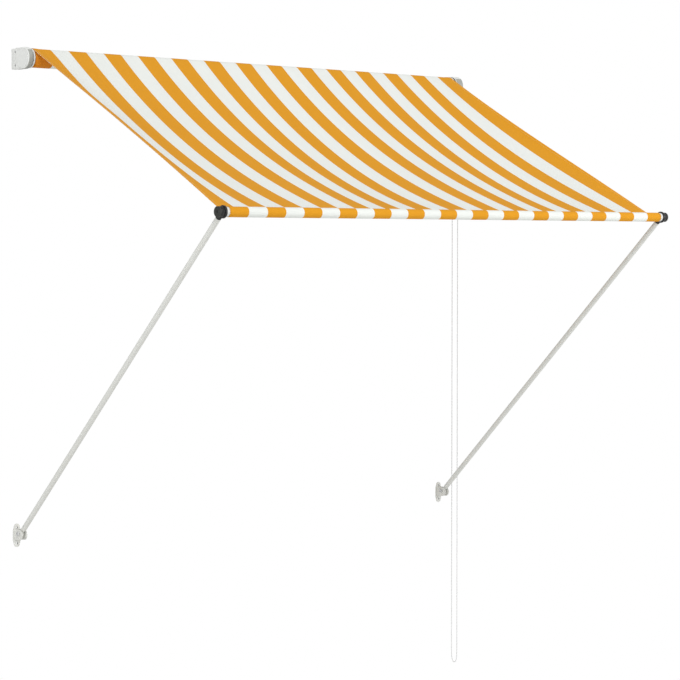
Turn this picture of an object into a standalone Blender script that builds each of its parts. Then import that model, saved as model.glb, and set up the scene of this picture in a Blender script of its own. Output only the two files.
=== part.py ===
"""Drop-arm window awning: a striped cloth on a wall roller, held out by two hinged arms.

The frame: +Z up, X along the wall, the wall face at Y = 0 and the awning on the -Y side.
The origin is on the wall, at the middle of the left roller bracket and level with the roller.
All lengths are in metres. "Out" is the distance beyond a cloth edge, away from the cloth.
"""

import math

import bmesh
import bpy
from mathutils import Matrix, Vector

# ---------------------------------------------------------------- driving dimensions
STRIPE = 0.071                      # width of one woven stripe
STRIPES = 27                        # yellow, white, yellow ... yellow
CLOTH_LEFT = 0.0165                 # X of the cloth's left edge
CLOTH_RIGHT = CLOTH_LEFT + STRIPE * STRIPES
CLOTH_THICK = 0.001
GAP = 0.0003                        # clearance left between touching pieces

ROLLER_Y = -0.077                   # the roller's axis, level with the origin
ROLL_RADIUS = 0.0312                # outside of the turns left on the tube
ROLLER_TUBE_RADIUS = 0.030
ROLLER_TUBE_WALL = 0.0012

COVER_RADIUS = 0.036                # half height of the D-shaped end covers
COVER_WALL = 0.0025
COVER_MOUTH = 0.012                 # out: the covers' open inner side
COVER_FACE = {-1: 0.030, 1: 0.046}  # out: outer face of the left and of the right cover
PLATE_OUT = (0.0085, 0.0115)        # out: the brackets' steel cheek
WALL_PLATE = 0.004
WALL_PLATE_HALF = 0.033
COVER_SCREW_Y = -0.026
COVER_SCREW_Z = 0.0225

CHAIN_OUT = 0.0355                  # out: plane of the bead chain, beyond the right edge
CHAIN_RADIUS = 0.0154               # half the distance between the two strands
CHAIN_THICK = 0.0042                # bead diameter
CHAIN_TOP = -0.028                  # where the hanging loop leaves the wheel's turns
CHAIN_BOTTOM = -2.2855
CHAIN_STEPS = 30                    # straight pieces of each hanging strand
CHAIN_BEND = 0.009                  # radius of the loop's lowest bend
CHAIN_BEND_HEIGHT = 0.060           # above it the two strands hang straight
CHAIN_BEND_STEPS = 16

ARM_PIVOT = (-0.030, -1.603)        # Y and Z of the arms' lower pivots
ARM_LENGTH = 1.563                  # pivot to pivot
ARM_RAISE = math.radians(43.5)      # the open arm's angle above the horizontal
ARM_OUT = 0.018                     # out: the arms' middle plane
ARM_RADIUS = 0.009
ARM_WALL = 0.0013
ARM_TUBE = (0.026, ARM_LENGTH - 0.027)  # the tube's two ends, measured from the lower pivot
SPIGOT_RADIUS = ARM_RADIUS - ARM_WALL - GAP
FOOT_SPIGOT = 0.060
FOOT_RIVET = 0.042                  # from the lower pivot
HEAD_RIVET = 0.045                  # from the upper pivot
RIVET_HOLE = 0.0018

BAR_Y = ARM_PIVOT[0] - ARM_LENGTH * math.cos(ARM_RAISE)
BAR_Z = ARM_PIVOT[1] + ARM_LENGTH * math.sin(ARM_RAISE)
BAR_RADIUS = 0.015
BAR_WALL = 0.0015
SLEEVE_RADIUS = 0.0165              # outside of the cloth pocket round the bar

SEAM_DROP = 0.002                   # the cloth meets the sleeve's back a little below its axis
SAG = 0.0735                        # depth of the cloth's belly below a straight line
SAG_EXTRA = 0.0115                  # a little more at one place
SAG_EXTRA_AT = 12.2                 # that place, in stripes from the left
SAG_EXTRA_SPREAD = 3.6
SAG_SKEW = 0.035                    # brings the deepest place towards the roller
HEM_RISE = 0.008                    # the left hem bows up by this much
HEM_CROWDING = 0.7                  # how much closer the sheet's columns are at the hems

# ---------------------------------------------------------------- scene helpers


def clear_scene():
    for item in list(bpy.data.objects):
        bpy.data.objects.remove(item, do_unlink=True)


def collection(name):
    group = bpy.data.collections.new(name)
    bpy.context.scene.collection.children.link(group)
    return group


def finish(name, colour, roughness, metallic):
    made = bpy.data.materials.new(name)
    made.use_nodes = True
    shader = made.node_tree.nodes["Principled BSDF"]
    shader.inputs["Base Color"].default_value = (*colour, 1.0)
    shader.inputs["Roughness"].default_value = roughness
    shader.inputs["Metallic"].default_value = metallic
    return made


clear_scene()
AWNING = collection("canvas_awning")
CUTTERS = collection("cutters")

FINISHES = {
    "powder_white": ((0.80, 0.81, 0.79), 0.38, 0.0),
    "plastic_white": ((0.83, 0.84, 0.82), 0.42, 0.0),
    "plastic_black": ((0.015, 0.015, 0.016), 0.45, 0.0),
    "zinc": ((0.62, 0.63, 0.64), 0.35, 1.0),
    "nylon": ((0.72, 0.72, 0.69), 0.50, 0.0),
    "spring_steel": ((0.45, 0.45, 0.46), 0.30, 1.0),
    "cloth": ((0.73, 0.33, 0.03), 0.85, 0.0),
    "chain": ((0.86, 0.87, 0.86), 0.35, 0.0),
}


def place(mesh, name, kind, parent=None, spot=(0, 0, 0)):
    """Make a mesh one of the awning's parts, with its own name and material."""
    mesh.name = name
    mesh.materials.clear()
    mesh.materials.append(finish(name, *FINISHES[kind]))
    part = bpy.data.objects.new(name, mesh)
    part.parent = parent
    part.location = spot
    AWNING.objects.link(part)


def loose(name, data):
    """An object that is not in the scene yet, to carry modifiers."""
    return bpy.data.objects.new(name, data)


def pivot(name, spot, lean=0.0):
    """An empty on a joint's axis; lean turns it about X, so its +Z points along an arm."""
    empty = bpy.data.objects.new(name, None)
    empty.location = spot
    empty.rotation_euler = (lean, 0, 0)
    AWNING.objects.link(empty)
    return empty


def at(side, out):
    """X of a point that lies 'out' beyond the left (-1) or right (+1) cloth edge."""
    return CLOTH_LEFT - out if side < 0 else CLOTH_RIGHT + out


def mesh_of(item):
    """The evaluated mesh of an object that is linked for a moment, then removed."""
    bpy.context.scene.collection.objects.link(item)
    bpy.context.view_layer.update()
    source = item.evaluated_get(bpy.context.evaluated_depsgraph_get())
    made = bpy.data.meshes.new_from_object(source)
    made.transform(item.matrix_world)
    bpy.data.objects.remove(item, do_unlink=True)
    work = bmesh.new()
    work.from_mesh(made)
    bmesh.ops.remove_doubles(work, verts=work.verts, dist=1e-6)
    bmesh.ops.recalc_face_normals(work, faces=work.faces)
    work.to_mesh(made)
    work.free()
    return made


def turned_outboard(mesh, side):
    """A piece made with +X outboard, turned round for the left-hand end."""
    if side < 0:
        mesh.transform(Matrix.Rotation(math.pi, 4, "Z"))
    return mesh


# ---------------------------------------------------------------- shapes


def turned(profile, steps=24, closed=False):
    """Turn (radius, x) points about the X axis; closed joins the last to the first."""
    count = len(profile)
    edges = [(i, (i + 1) % count) for i in range(count if closed else count - 1)]
    mesh = bpy.data.meshes.new("profile")
    mesh.from_pydata([(radius, 0.0, x) for radius, x in profile], edges, [])
    item = loose("turned", mesh)
    screw = item.modifiers.new("Screw", "SCREW")
    screw.axis = "Z"
    screw.steps = steps
    screw.render_steps = steps
    screw.use_merge_vertices = True
    screw.merge_threshold = 0.00001
    item.rotation_euler = (0, math.pi / 2, 0)
    made = mesh_of(item)
    made.shade_smooth()
    made.set_sharp_from_angle(angle=math.radians(35))
    return made


def ring(inner, outer, start, end, steps=24):
    return turned([(outer, end), (outer, start), (inner, start), (inner, end)], steps, True)


def disc(radius, start, end, steps=24, edge=0.0):
    """A solid round bar from start to end along X, with its two rims chamfered by edge."""
    points = [(0, end), (radius - edge, end)]
    if edge:
        points += [(radius, end - edge), (radius, start + edge)]
    else:
        points += [(radius, start)]
    points += [(radius - edge, start), (0, start)] if edge else [(0, start)]
    return turned(points, steps)


def box(low, high):
    work = bmesh.new()
    bmesh.ops.create_cube(work, size=1.0)
    size = [b - a for a, b in zip(low, high)]
    middle = [(a + b) / 2 for a, b in zip(low, high)]
    bmesh.ops.scale(work, vec=size, verts=work.verts)
    bmesh.ops.translate(work, vec=middle, verts=work.verts)
    mesh = bpy.data.meshes.new("box")
    work.to_mesh(mesh)
    work.free()
    return mesh


def plate(outline, start, end):
    """A flat sheet with the (y, z) outline, from start to end along X."""
    curve = bpy.data.curves.new("outline", "CURVE")
    curve.dimensions = "2D"
    curve.fill_mode = "BOTH"
    curve.extrude = (end - start) / 2
    spline = curve.splines.new("POLY")
    spline.points.add(len(outline) - 1)
    for point, (y, z) in zip(spline.points, outline):
        point.co = (y, z, 0, 1)
    spline.use_cyclic_u = True
    item = loose("plate", curve)
    item.matrix_world = Matrix(((0, 0, 1, (start + end) / 2), (1, 0, 0, 0), (0, 1, 0, 0), (0, 0, 0, 1)))
    return mesh_of(item)


def arc(centre, radius, first, last, steps):
    """Points of a circle in the (y, z) plane; degrees from +Y towards +Z."""
    points = []
    for i in range(steps + 1):
        angle = math.radians(first + (last - first) * i / steps)
        points.append((centre[0] + radius * math.cos(angle), centre[1] + radius * math.sin(angle)))
    return points


def moved(mesh, spot=(0, 0, 0), turn=None):
    if turn:
        mesh.transform(turn)
    mesh.transform(Matrix.Translation(Vector(spot)))
    return mesh


def combined(base, others, operation="DIFFERENCE"):
    """Cut others from the base mesh, or join them to it, one exact Boolean after another."""
    item = loose("base", base)
    for index, other in enumerate(others):
        cutter = loose(f"cutter_{index}", other)
        CUTTERS.objects.link(cutter)
        cutter.hide_render = True
        cutter.display_type = "WIRE"
        step = item.modifiers.new(f"step_{index}", "BOOLEAN")
        step.operation = operation
        step.solver = "EXACT"
        step.object = cutter
    made = mesh_of(item)
    for cutter in list(CUTTERS.objects):
        bpy.data.objects.remove(cutter, do_unlink=True)
    return made


def softened(mesh, width, segments=1):
    """The same mesh with its sharp edges rounded."""
    item = loose("softened", mesh)
    bevel = item.modifiers.new("Bevel", "BEVEL")
    bevel.width = width
    bevel.segments = segments
    bevel.limit_method = "ANGLE"
    bevel.angle_limit = math.radians(50)
    return mesh_of(item)


def joined(base, others):
    return combined(base, others, "UNION")


# ---------------------------------------------------------------- wall end brackets


def end_outline(radius, back):
    """The D shape of an end cover: straight from the wall, round the roller's axis in front."""
    nose = arc((ROLLER_Y, 0), radius, 90, 270, 16)
    return [(back, radius)] + nose + [(back, -radius)]


def between(side, near, far):
    """The two X values of a slab from near to far outboard, in ascending order."""
    return sorted((at(side, near), at(side, far)))


def cover_screw_spots():
    return [(COVER_SCREW_Y, sign * COVER_SCREW_Z) for sign in (1, -1)]


def round_cut(side, spot, radius, near, far, steps=20):
    start, end = between(side, near, far)
    return moved(disc(radius, start, end, steps), (0, *spot))


def wall_bracket(side, name):
    """A steel angle: the wall plate and a cheek that carries the roller's bearing."""
    face = COVER_FACE[side]
    low, high = between(side, PLATE_OUT[0], face - COVER_WALL - 0.003)
    wall = box((low, -WALL_PLATE, -WALL_PLATE_HALF), (high, 0, WALL_PLATE_HALF))
    nose = arc((ROLLER_Y, 0), 0.024, 90, 270, 10)
    tongue = [(-0.001, 0.031), (-0.036, 0.031)] + nose + [(-0.036, -0.031), (-0.001, -0.031)]
    cheek = plate(tongue, *between(side, *PLATE_OUT))
    cuts = [round_cut(side, (ROLLER_Y, 0), 0.009, 0.006, 0.014, 24)]
    for spot in cover_screw_spots():
        cuts.append(round_cut(side, spot, 0.002, 0.006, 0.014, 12))
    wall_hole_x = at(side, (PLATE_OUT[1] + face - COVER_WALL) / 2)
    quarter = Matrix.Rotation(math.pi / 2, 4, "Z")
    for z in (-0.009, 0.009):
        cuts.append(moved(disc(0.00275, -0.006, 0.006, 16), (wall_hole_x, 0, z), quarter))
    place(combined(joined(wall, [cheek]), cuts), name, "zinc")


def end_cover(side, name):
    """A D-shaped plastic shell, open to the wall and to the cloth, with two screw posts."""
    face = COVER_FACE[side]
    shell = plate(end_outline(COVER_RADIUS, -0.0005), *between(side, COVER_MOUTH, face))
    shell = softened(shell, 0.0015)
    inner = end_outline(COVER_RADIUS - COVER_WALL, 0.003)
    hollow = plate(inner, *between(side, COVER_MOUTH - 0.003, face - COVER_WALL))
    shell = combined(shell, [hollow])
    posts = [round_cut(side, spot, 0.0055, COVER_MOUTH, face - COVER_WALL / 2)
             for spot in cover_screw_spots()]
    shell = joined(shell, posts)
    cuts = []
    for spot in cover_screw_spots():
        cuts.append(round_cut(side, spot, 0.002, COVER_MOUTH - 0.003, face + 0.003, 12))
        cuts.append(round_cut(side, spot, 0.0039, face - 0.003, face + 0.003, 16))
    if side > 0:
        low, high = between(side, CHAIN_OUT - 0.006, CHAIN_OUT + 0.006)
        reach = CHAIN_RADIUS + 0.008
        cuts.append(box((low, ROLLER_Y - reach, -0.045), (high, ROLLER_Y + reach, -0.020)))
    place(combined(shell, cuts), name, "plastic_white")


def cover_screw(side, spot, name):
    """A pan-head screw sunk in the cover's post and reaching into the bracket's cheek."""
    head = COVER_FACE[side] - 0.003 + GAP
    profile = [(0, 0.0018), (0.0022, 0.0018), (0.0035, 0.0006), (0.0035, 0), (0.0016, 0),
               (0.0016, 0.009 - head), (0, 0.008 - head)]
    screw = turned(profile, 16)
    place(turned_outboard(screw, side), name, "zinc", None, (at(side, head), *spot))


def bearing_bush(side, name):
    """A flanged nylon bush in the cheek, round the roller's journal."""
    points = [(0.0087, 0.0130), (0.0087, 0.0082), (0.0120, 0.0082), (0.0120, 0.0070),
              (0.0063, 0.0070), (0.0063, 0.0130)]
    bush = turned(points, 24, True)
    place(turned_outboard(bush, side), name, "nylon", None, (at(side, 0), ROLLER_Y, 0))


def clutch():
    """The chain drive's brake: a fixed core on the right cheek and the spring wound on it."""
    core = ring(0.0093, 0.0110, 0.0118, 0.0270, 24)
    place(core, "clutch_core", "nylon", None, (CLOTH_RIGHT, ROLLER_Y, 0))
    turns, steps = 3, 12
    wire = 0.0008
    coil = bpy.data.curves.new("brake_spring", "CURVE")
    coil.dimensions = "3D"
    coil.bevel_depth = wire
    coil.bevel_resolution = 1
    coil.use_fill_caps = True
    spline = coil.splines.new("POLY")
    spline.points.add(turns * steps)
    for i, point in enumerate(spline.points):
        angle = 2 * math.pi * i / steps
        radius = 0.0113 + wire + GAP
        x = 0.0140 + 0.0022 * i / steps
        point.co = (x, radius * math.cos(angle), radius * math.sin(angle), 1)
    place(mesh_of(loose("coil", coil)), "brake_spring", "spring_steel", None, (CLOTH_RIGHT, ROLLER_Y, 0))


# ---------------------------------------------------------------- roller


def roller():
    axis = pivot("roller_axis", (0, ROLLER_Y, 0))
    tube = ring(ROLLER_TUBE_RADIUS - ROLLER_TUBE_WALL, ROLLER_TUBE_RADIUS,
                at(-1, 0.002), at(1, 0.002), 32)
    place(tube, "roller_tube", "zinc", axis)
    turns = ring(ROLLER_TUBE_RADIUS + GAP, ROLL_RADIUS, CLOTH_LEFT, CLOTH_RIGHT, 32)
    place(turns, "cloth_roll", "cloth", axis)
    for side, name, journal in ((-1, "roller_plug_left", 0.017), (1, "roller_plug_right", 0.0405)):
        spigot = ROLLER_TUBE_RADIUS - ROLLER_TUBE_WALL - GAP
        profile = [(0, journal), (0.005, journal), (0.006, journal - 0.001), (0.006, 0.0065),
                   (0.0325, 0.0065), (0.0335, 0.0055), (0.0335, 0.0023), (spigot, 0.0023),
                   (spigot, -0.030), (0.020, -0.040), (0, -0.040)]
        plug = turned(profile, 28)
        place(turned_outboard(plug, side), name, "plastic_white", axis, (at(side, 0), 0, 0))
    chain_wheel(axis)


def chain_wheel(axis):
    """A grooved wheel for the bead chain, keyed on the right-hand journal."""
    groove = CHAIN_RADIUS - CHAIN_THICK / 2 - GAP
    rim = 0.0190
    half = 0.0050
    profile = [(rim, half), (rim, 0.0038), (groove + 0.0008, 0.0027), (groove, 0.0015),
               (groove, -0.0015), (groove + 0.0008, -0.0027), (rim, -0.0038), (rim, -half),
               (0.0063, -half), (0.0063, half)]
    wheel = turned(profile, 24, True)
    place(wheel, "chain_wheel", "plastic_white", axis, (at(1, CHAIN_OUT), 0, 0))


# ---------------------------------------------------------------- bead chain


def tube_along(points, name, radius):
    curve = bpy.data.curves.new(name, "CURVE")
    curve.dimensions = "3D"
    curve.bevel_depth = radius
    curve.bevel_resolution = 2
    curve.use_fill_caps = True
    spline = curve.splines.new("POLY")
    spline.points.add(len(points) - 1)
    for point, spot in zip(spline.points, points):
        point.co = (*spot, 1)
    place(mesh_of(loose(name, curve)), name, "chain")


def chain_bend():
    """(y, z) points of the loop's foot: a narrow U that opens gradually into two strands."""
    stretch = CHAIN_RADIUS ** 2 / CHAIN_BEND
    sweep = math.acos(math.exp(-CHAIN_BEND_HEIGHT / stretch))
    points = []
    for i in range(CHAIN_BEND_STEPS + 1):
        angle = sweep * (2 * i / CHAIN_BEND_STEPS - 1)
        y = ROLLER_Y + CHAIN_RADIUS * math.sin(angle) / math.sin(sweep)
        points.append((y, CHAIN_BOTTOM - stretch * math.log(math.cos(angle))))
    return points


def bead_chain():
    """One endless loop: the long hanging U, and the short turn over the wheel in the cover."""
    x = at(1, CHAIN_OUT)
    front, back = ROLLER_Y - CHAIN_RADIUS, ROLLER_Y + CHAIN_RADIUS
    drop = (CHAIN_TOP - CHAIN_BOTTOM - CHAIN_BEND_HEIGHT) / CHAIN_STEPS
    down = [(x, front, CHAIN_TOP - drop * i) for i in range(CHAIN_STEPS)]
    bend = [(x, y, z) for y, z in chain_bend()]
    rise = [(x, back, CHAIN_TOP - drop * i) for i in reversed(range(CHAIN_STEPS))]
    tube_along(down + bend + rise, "bead_chain", CHAIN_THICK / 2)
    over = [(x, y, z) for y, z in arc((ROLLER_Y, 0), CHAIN_RADIUS, 180, 0, 12)]
    legs = [(x, y, CHAIN_TOP + GAP) for y in (front, back)]
    tube_along([legs[0]] + over + [legs[1]], "chain_over_wheel", CHAIN_THICK / 2)


# ---------------------------------------------------------------- arms


def arm_bracket(side, name):
    """A wall plate with two round-ended screw tabs, and two cheeks for the arm's foot."""
    x = at(side, ARM_OUT)
    y, z = ARM_PIVOT
    middle = z - 0.009
    half, tab, body = 0.0295, 0.0105, 0.0145
    tabs_up = [(math.sin(math.radians(a)) * tab, half + math.cos(math.radians(a)) * tab)
               for a in range(90, -91, -18)]
    outline = [(body, -0.017), (body, 0.017)] + tabs_up + [(-body, 0.017), (-body, -0.017)]
    outline += [(-px, -pz) for px, pz in tabs_up]
    base = plate(outline, 0, WALL_PLATE)
    upright = Matrix(((0, 1, 0, x), (-1, 0, 0, 0), (0, 0, 1, middle), (0, 0, 0, 1)))
    base = moved(base, (0, 0, 0), upright)
    nose = arc((-0.036, z - 0.004), 0.017, 90, 270, 12)
    cheek = [(-0.002, z + 0.013)] + nose + [(-0.002, z - 0.023)]
    cheeks = [plate(cheek, x + start, x + start + 0.003) for start in (-0.0103, 0.0073)]
    quarter = Matrix.Rotation(math.pi / 2, 4, "Z")
    cuts = [moved(disc(0.00275, -0.006, 0.006, 16), (x, 0, middle + dz), quarter)
            for dz in (0.0265, -0.0265)]
    cuts.append(moved(disc(0.0043, x - 0.02, x + 0.02, 20), (0, y, z)))
    place(combined(joined(base, cheeks), cuts), name, "powder_white")


def hexagon(across, start, end):
    """A hexagonal prism along X."""
    points = arc((0, 0), across / math.sqrt(3), 0, 300, 5)
    return plate(points, start, end)


def pivot_bolt(side, suffix):
    spot = (at(side, ARM_OUT), *ARM_PIVOT)
    bolt = joined(hexagon(0.013, 0.0106, 0.0158), [disc(0.004, -0.0185, 0.011, 20, 0.0006)])
    nut = combined(hexagon(0.013, -0.0158, -0.0106), [disc(0.0043, -0.02, 0, 20)])
    for mesh, name in ((bolt, f"pivot_bolt_{suffix}"), (nut, f"pivot_nut_{suffix}")):
        place(turned_outboard(mesh, side), name, "zinc", None, spot)


def along_arm(profile, steps=18, closed=False):
    """Turn (radius, distance) points about the arm's own +Z axis."""
    mesh = turned(profile, steps, closed)
    mesh.transform(Matrix.Rotation(-math.pi / 2, 4, "Y"))
    return mesh


def cross_hole(distance):
    """A rivet's hole across the arm, at a distance along it."""
    return moved(disc(RIVET_HOLE, -0.012, 0.012, 12), (0, 0, distance))


def arm_foot():
    """A flat eye on the pivot bolt, a collar, and a spigot inside the tube."""
    neck = along_arm([(0, FOOT_SPIGOT), (SPIGOT_RADIUS, FOOT_SPIGOT), (SPIGOT_RADIUS, ARM_TUBE[0] - GAP),
                      (ARM_RADIUS, ARM_TUBE[0] - GAP), (ARM_RADIUS, 0.022), (0.0065, 0.0185),
                      (0.0065, 0.002), (0, 0.002)])
    foot = joined(disc(0.0115, -0.007, 0.007, 20, 0.0006), [neck])
    return combined(foot, [disc(0.0043, -0.01, 0.01, 20), cross_hole(FOOT_RIVET)])


def arm_tube():
    inner = ARM_RADIUS - ARM_WALL
    tube = along_arm([(ARM_RADIUS, ARM_TUBE[1]), (ARM_RADIUS, ARM_TUBE[0]),
                      (inner, ARM_TUBE[0]), (inner, ARM_TUBE[1])], 20, True)
    return combined(tube, [cross_hole(FOOT_RIVET), cross_hole(ARM_LENGTH - HEAD_RIVET)])


def arm_head(side):
    """An eye with a wide thrust rim on the bar side, and a spigot down into the tube."""
    rim = disc(0.020, 0.012 - ARM_OUT, 0.0185 - ARM_OUT, 24, 0.0008)
    eye = disc(0.0165, 0.0180 - ARM_OUT, 0.0305 - ARM_OUT, 24, 0.0008)
    shoulder = ARM_LENGTH - ARM_TUBE[1] - GAP
    neck = along_arm([(0, -0.010), (0.0058, -0.010), (0.0058, -0.0175), (ARM_RADIUS, -0.0215),
                      (ARM_RADIUS, -shoulder), (SPIGOT_RADIUS, -shoulder),
                      (SPIGOT_RADIUS, -0.065), (0, -0.065)])
    for mesh in (rim, eye):
        turned_outboard(mesh, side)
    head = joined(rim, [eye, neck])
    return combined(head, [disc(0.0053, -0.03, 0.03, 24), cross_hole(-HEAD_RIVET)])


def rivet():
    """A round-headed rivet across the arm's tube."""
    return turned([(0, 0.0105), (0.0018, 0.0104), (0.0028, 0.0093), (0.0015, 0.0093),
                   (0.0015, -0.0093), (0.0028, -0.0093), (0.0018, -0.0104), (0, -0.0105)], 12)


def arm(side, suffix):
    spot = (at(side, ARM_OUT), *ARM_PIVOT)
    hinge = pivot(f"arm_pivot_{suffix}", spot, math.pi / 2 - ARM_RAISE)
    place(arm_foot(), f"arm_foot_{suffix}", "powder_white", hinge)
    place(arm_tube(), f"arm_tube_{suffix}", "powder_white", hinge)
    place(arm_head(side), f"arm_head_{suffix}", "plastic_black", hinge, (0, 0, ARM_LENGTH))
    place(rivet(), f"foot_rivet_{suffix}", "zinc", hinge, (0, 0, FOOT_RIVET))
    place(rivet(), f"head_rivet_{suffix}", "zinc", hinge, (0, 0, ARM_LENGTH - HEAD_RIVET))


# ---------------------------------------------------------------- front bar


def front_bar():
    axis = pivot("bar_axis", (0, BAR_Y, BAR_Z))
    tube = ring(BAR_RADIUS - BAR_WALL, BAR_RADIUS, at(-1, 0.002), at(1, 0.002), 28)
    place(tube, "bar_tube", "powder_white", axis)
    sleeve = ring(BAR_RADIUS + GAP, SLEEVE_RADIUS, CLOTH_LEFT, CLOTH_RIGHT, 28)
    place(sleeve, "bar_sleeve", "cloth", axis)
    spigot = BAR_RADIUS - BAR_WALL - GAP
    for side, suffix in ((-1, "left"), (1, "right")):
        # plug: a spigot in the tube, a collar beyond it, and the pin that the arm's eye turns on
        plug = turned([(0, 0.0308), (0.005, 0.0308), (0.005, 0.0117), (0.0145, 0.0117),
                       (0.0152, 0.0110), (0.0152, 0.0023), (spigot, 0.0023), (spigot, -0.024),
                       (0.010, -0.030), (0, -0.030)], 24)
        plug = combined(plug, [disc(0.0018, 0.018, 0.035, 12)])
        cap = turned([(0.0155, 0.0380), (0.0165, 0.0370), (0.0165, 0.0320), (0.0155, 0.0311),
                      (0.0022, 0.0311), (0.0022, 0.0350), (0.0045, 0.0350), (0.0045, 0.0372)],
                     28, True)
        screw = turned([(0, 0.0370), (0.0030, 0.0370), (0.0040, 0.0362), (0.0040, 0.0353),
                        (0.0015, 0.0353), (0.0015, 0.0200), (0, 0.0190)], 16)
        for mesh, name, kind in ((plug, "bar_plug", "plastic_white"), (cap, "pivot_cap", "plastic_black"),
                                 (screw, "cap_screw", "zinc")):
            place(turned_outboard(mesh, side), f"{name}_{suffix}", kind, axis, (at(side, 0), 0, 0))


# ---------------------------------------------------------------- cloth


def belly(x):
    """How deep the cloth hangs below a straight line at x; it is nearly taut at its two hems."""
    from_left = max(x - CLOTH_LEFT, 0) / STRIPE
    from_right = max(CLOTH_RIGHT - x, 0) / STRIPE
    hems = (1 - math.exp(-(from_left / 1.75) ** 1.3)) * (1 - math.exp(-(from_right / 1.6) ** 0.9))
    extra = SAG_EXTRA * math.exp(-((from_left - SAG_EXTRA_AT) / SAG_EXTRA_SPREAD) ** 2)
    return hems * (SAG + extra) - HEM_RISE * math.exp(-2 * from_left)


def cloth_point(x, share):
    """A point of the cloth: share 0 is on the roll, share 1 at the back of the bar's sleeve."""
    depth = belly(x)
    lift = CLOTH_THICK / 2 + GAP
    end = Vector((BAR_Y + SLEEVE_RADIUS + lift, BAR_Z - SEAM_DROP))
    reach = ROLLER_Y - end.x
    leave = math.atan((4 * depth + SAG_SKEW - end.y) / reach)
    start = Vector((ROLLER_Y - (ROLL_RADIUS + lift) * math.sin(leave),
                    (ROLL_RADIUS + lift) * math.cos(leave)))
    line = start.lerp(end, share)
    dip = share * (1 - share) * (4 * depth + SAG_SKEW * (1 - 2 * share))
    return Vector((x, line.x, line.y - dip))


def canopy():
    """The open span of cloth, one curved sheet from the roll to the bar."""
    columns, rows = 26, 8
    work = bmesh.new()
    bmesh.ops.create_grid(work, x_segments=columns, y_segments=rows, size=0.5)
    for vertex in work.verts:
        # columns crowd towards the hems, where the belly begins
        even = vertex.co.x + 0.5
        crowded = 0.5 - 0.5 * math.cos(math.pi * even)
        across = even + HEM_CROWDING * (crowded - even)
        x = CLOTH_LEFT + across * (CLOTH_RIGHT - CLOTH_LEFT)
        vertex.co = cloth_point(x, vertex.co.y + 0.5)
    mesh = bpy.data.meshes.new("canopy")
    work.to_mesh(mesh)
    work.free()
    sheet = loose("sheet", mesh)
    skin = sheet.modifiers.new("Solidify", "SOLIDIFY")
    skin.thickness = CLOTH_THICK
    skin.offset = 0
    place(mesh_of(sheet), "canopy", "cloth")


# ---------------------------------------------------------------- the awning

for hand, word in ((-1, "left"), (1, "right")):
    wall_bracket(hand, f"wall_bracket_{word}")
    end_cover(hand, f"end_cover_{word}")
    for place_word, where in zip(("upper", "lower"), cover_screw_spots()):
        cover_screw(hand, where, f"cover_screw_{word}_{place_word}")
    bearing_bush(hand, f"bearing_bush_{word}")
    arm_bracket(hand, f"arm_bracket_{word}")
    pivot_bolt(hand, word)
    arm(hand, word)
clutch()
roller()
bead_chain()
front_bar()
canopy()
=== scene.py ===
"""The looks of a drop-arm window awning: its striped canvas, coated steel, plastics and bead chain.

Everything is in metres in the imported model's frame: +Z up, the wall face at Y = 0, the awning on
the -Y side, and X along the wall. "Out" is the distance beyond a cloth edge, away from the cloth.
"""

import math

import bmesh
import bpy
from mathutils import Matrix, Vector


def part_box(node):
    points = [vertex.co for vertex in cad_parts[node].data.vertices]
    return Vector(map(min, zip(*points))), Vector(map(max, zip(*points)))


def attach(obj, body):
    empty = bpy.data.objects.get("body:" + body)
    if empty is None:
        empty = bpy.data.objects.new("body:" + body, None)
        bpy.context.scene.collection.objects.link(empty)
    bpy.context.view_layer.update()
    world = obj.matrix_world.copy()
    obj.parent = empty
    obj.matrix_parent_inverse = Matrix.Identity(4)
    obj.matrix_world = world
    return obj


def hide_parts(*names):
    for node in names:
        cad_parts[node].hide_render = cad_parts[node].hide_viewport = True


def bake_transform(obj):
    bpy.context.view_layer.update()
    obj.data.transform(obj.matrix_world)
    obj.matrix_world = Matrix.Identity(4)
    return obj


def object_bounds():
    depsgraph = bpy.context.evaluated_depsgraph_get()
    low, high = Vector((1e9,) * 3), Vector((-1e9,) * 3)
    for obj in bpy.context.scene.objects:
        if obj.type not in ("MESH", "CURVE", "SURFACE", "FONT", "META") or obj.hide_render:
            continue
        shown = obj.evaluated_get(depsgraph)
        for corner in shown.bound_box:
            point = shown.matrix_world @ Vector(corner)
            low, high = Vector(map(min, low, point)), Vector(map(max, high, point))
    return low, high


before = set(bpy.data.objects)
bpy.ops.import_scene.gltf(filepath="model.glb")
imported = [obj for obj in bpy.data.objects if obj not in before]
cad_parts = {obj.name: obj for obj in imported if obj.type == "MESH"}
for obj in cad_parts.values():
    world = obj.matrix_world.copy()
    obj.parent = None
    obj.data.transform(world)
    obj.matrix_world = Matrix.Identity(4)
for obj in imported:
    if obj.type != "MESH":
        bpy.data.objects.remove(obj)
CAD_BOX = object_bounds()

# ---- places read from the frame


def centre(node):
    low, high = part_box(node)
    return (low + high) / 2


CLOTH_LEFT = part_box("cloth_roll")[0].x
CLOTH_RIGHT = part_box("cloth_roll")[1].x
STRIPES = 27
STRIPE = (CLOTH_RIGHT - CLOTH_LEFT) / STRIPES
ROLLER = centre("roller_tube")
ROLL_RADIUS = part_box("cloth_roll")[1].z - ROLLER.z
TUBE_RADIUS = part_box("roller_tube")[1].z - ROLLER.z
BAR = centre("bar_tube")
SLEEVE_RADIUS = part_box("bar_sleeve")[1].z - BAR.z
BAR_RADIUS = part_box("bar_tube")[1].z - BAR.z
PIVOT = centre("pivot_bolt_left")
ARM_SPAN = Vector((0, BAR.y - PIVOT.y, BAR.z - PIVOT.z))
ARM_LENGTH = ARM_SPAN.length
ARM_LEAN = math.atan2(-ARM_SPAN.y, ARM_SPAN.z)  # the open arm's lean away from the wall
COVER_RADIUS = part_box("end_cover_left")[1].z - ROLLER.z

# ---- the maker's sizes

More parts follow.
